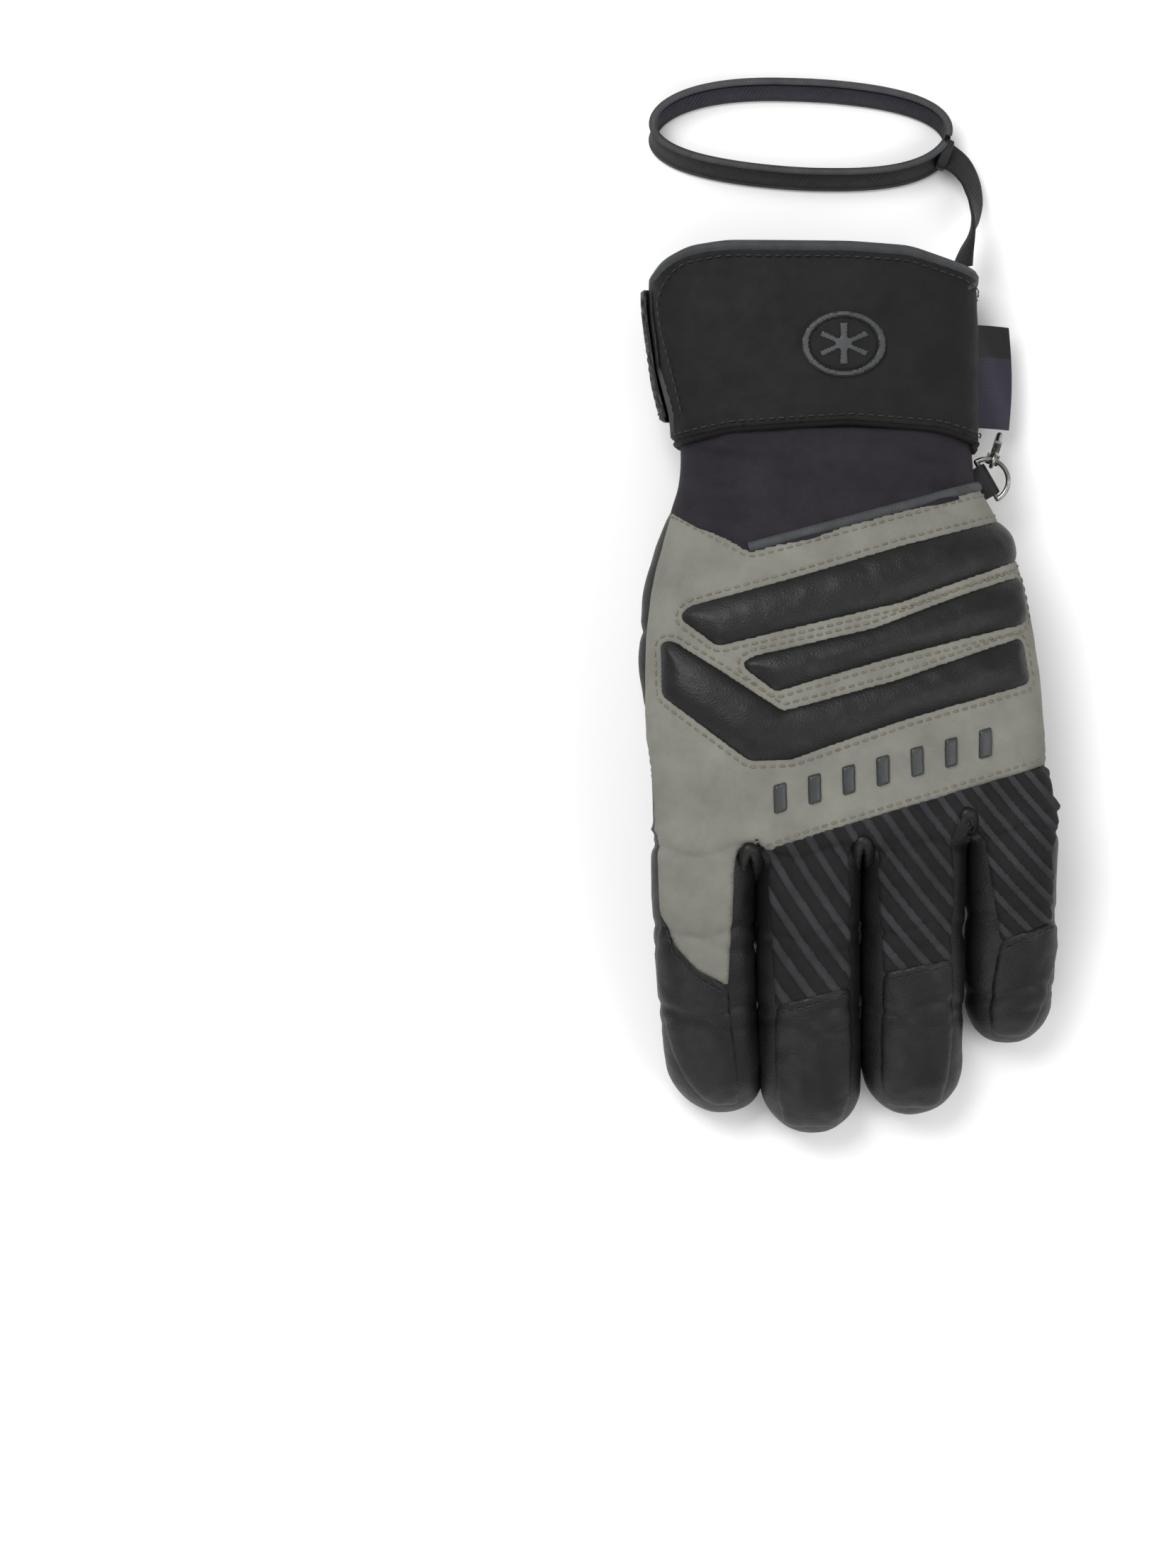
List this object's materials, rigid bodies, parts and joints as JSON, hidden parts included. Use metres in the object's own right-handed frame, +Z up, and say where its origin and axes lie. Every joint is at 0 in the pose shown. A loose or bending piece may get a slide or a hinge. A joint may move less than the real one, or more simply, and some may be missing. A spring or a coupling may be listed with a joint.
{
  "type": "ski glove",
  "caption": "Padded left-hand ski glove lying palm down, with raised knuckle pads, a closure-tab cuff, a wrist leash and a clip on a D-ring",
  "frame": {"origin": "centre of the foot of the glove's own box, without its leash", "axes": "+Z up from the surface that the palm lies on, +Y from the fingertips to the cuff, +X from the thumb to the little finger"},
  "size_m": [0.1296, 0.3322, 0.0644],
  "materials": {
    "goat_leather": "satin grain",
    "softshell": "matt softshell",
    "stretch_rib": "ribbed stretch",
    "navy_stretch": "matt stretch",
    "neoprene": "fine knit over neoprene",
    "binding_tape": "folded tape",
    "moulded_rubber": "satin",
    "webbing": "matt",
    "batting": "matt batting",
    "lining_fleece": "brushed fleece",
    "pad_foam": "closed-cell foam",
    "elastic": "ribbed elastic",
    "hook_tape": "hook tape",
    "label_satin": "satin label",
    "gunmetal": "polished dark nickel"
  },
  "bodies": {
    "hand": {"back_panel": "softshell", "knuckle_pad_upper": "goat_leather", "knuckle_pad_middle": "goat_leather", "knuckle_pad_lower": "goat_leather", "pad_foam": "pad_foam", "rubber_ribs": "moulded_rubber", "wrist_panel": "navy_stretch", "wrist_piping": "binding_tape", "palm_leather": "goat_leather", "palm_reinforcement": "goat_leather", "side_strips": "goat_leather", "wrist_gather": "softshell", "wrist_elastic": "elastic", "thumb_mound": "softshell", "hand_insulation": "batting", "hand_lining": "lining_fleece", "cuff_insulation": "batting", "cuff_back": "neoprene", "cuff_palm": "neoprene", "cuff_gusset": "stretch_rib", "cuff_back_binding": "binding_tape", "cuff_palm_binding": "binding_tape", "cuff_emblem": "moulded_rubber", "side_label": "label_satin", "ring_webbing": "webbing", "hook_patch": "hook_tape", "leash_tether": "webbing", "leash_loop": "webbing", "leash_stitch_block": "webbing"},
    "index": {"index_back": "softshell", "index_cap": "goat_leather", "index_front": "goat_leather", "index_sidewalls": "goat_leather", "index_liner": "batting"},
    "middle": {"middle_back": "stretch_rib", "middle_cap": "goat_leather", "middle_front": "goat_leather", "middle_sidewalls": "goat_leather", "middle_liner": "batting"},
    "ring_finger": {"ring_finger_back": "stretch_rib", "ring_finger_cap": "goat_leather", "ring_finger_front": "goat_leather", "ring_finger_sidewalls": "goat_leather", "ring_finger_liner": "batting"},
    "little": {"little_back": "stretch_rib", "little_cap": "goat_leather", "little_front": "goat_leather", "little_sidewalls": "goat_leather", "little_liner": "batting"},
    "thumb": {"thumb_back": "softshell", "thumb_cap": "goat_leather", "thumb_front": "goat_leather", "thumb_sidewalls": "goat_leather", "thumb_liner": "batting"},
    "tab": {"closure_tab": "goat_leather"},
    "d_ring": {"d_ring": "gunmetal"},
    "snap_hook": {"snap_hook": "gunmetal"},
    "snap_gate": {"snap_gate": "gunmetal"}
  },
  "joints": [
    {"name": "index_curl", "type": "hinge", "parent": "hand", "child": "index", "pos_m": [-0.0463, -0.0495, 0.047], "axis": [1, 0, 0], "range_deg": [-15, 8], "stiffness_Nm_per_rad": 0.5},
    {"name": "middle_curl", "type": "hinge", "parent": "hand", "child": "middle", "pos_m": [-0.0126, -0.0497, 0.043], "axis": [1, 0, 0], "range_deg": [-15, 8], "stiffness_Nm_per_rad": 0.5},
    {"name": "ring_finger_curl", "type": "hinge", "parent": "hand", "child": "ring_finger", "pos_m": [0.0202, -0.0482, 0.0386], "axis": [1, 0, 0], "range_deg": [-15, 50], "stiffness_Nm_per_rad": 0.5},
    {"name": "little_curl", "type": "hinge", "parent": "hand", "child": "little", "pos_m": [0.0512, -0.0434, 0.0346], "axis": [1, 0, 0], "range_deg": [-15, 50], "stiffness_Nm_per_rad": 0.5},
    {"name": "thumb_swing", "type": "hinge", "parent": "hand", "child": "thumb", "pos_m": [-0.043, 0.02, 0.014], "axis": [0, 0, -1], "range_deg": [0, 40], "stiffness_Nm_per_rad": 0.5},
    {"name": "tab_lift", "type": "hinge", "parent": "hand", "child": "tab", "pos_m": [-0.0621, 0.1095, 0.019], "axis": [0, 1, 0], "range_deg": [0, 120]},
    {"name": "d_ring_swing", "type": "hinge", "parent": "hand", "child": "d_ring", "pos_m": [0.044, 0.0645, 0.024], "axis": [0.5, -0.866, 0], "range_deg": [-40, 60]},
    {"name": "snap_hook_swing", "type": "hinge", "parent": "d_ring", "child": "snap_hook", "pos_m": [0.04596, 0.07091, 0.024], "axis": [0.9563, -0.2924, 0], "range_deg": [-25, 60]},
    {"name": "snap_gate_open", "type": "hinge", "parent": "snap_hook", "child": "snap_gate", "pos_m": [0.04627, 0.07191, 0.01618], "axis": [0.9563, -0.2924, 0], "range_deg": [0, 25], "stiffness_Nm_per_rad": 0.002}
  ]
}
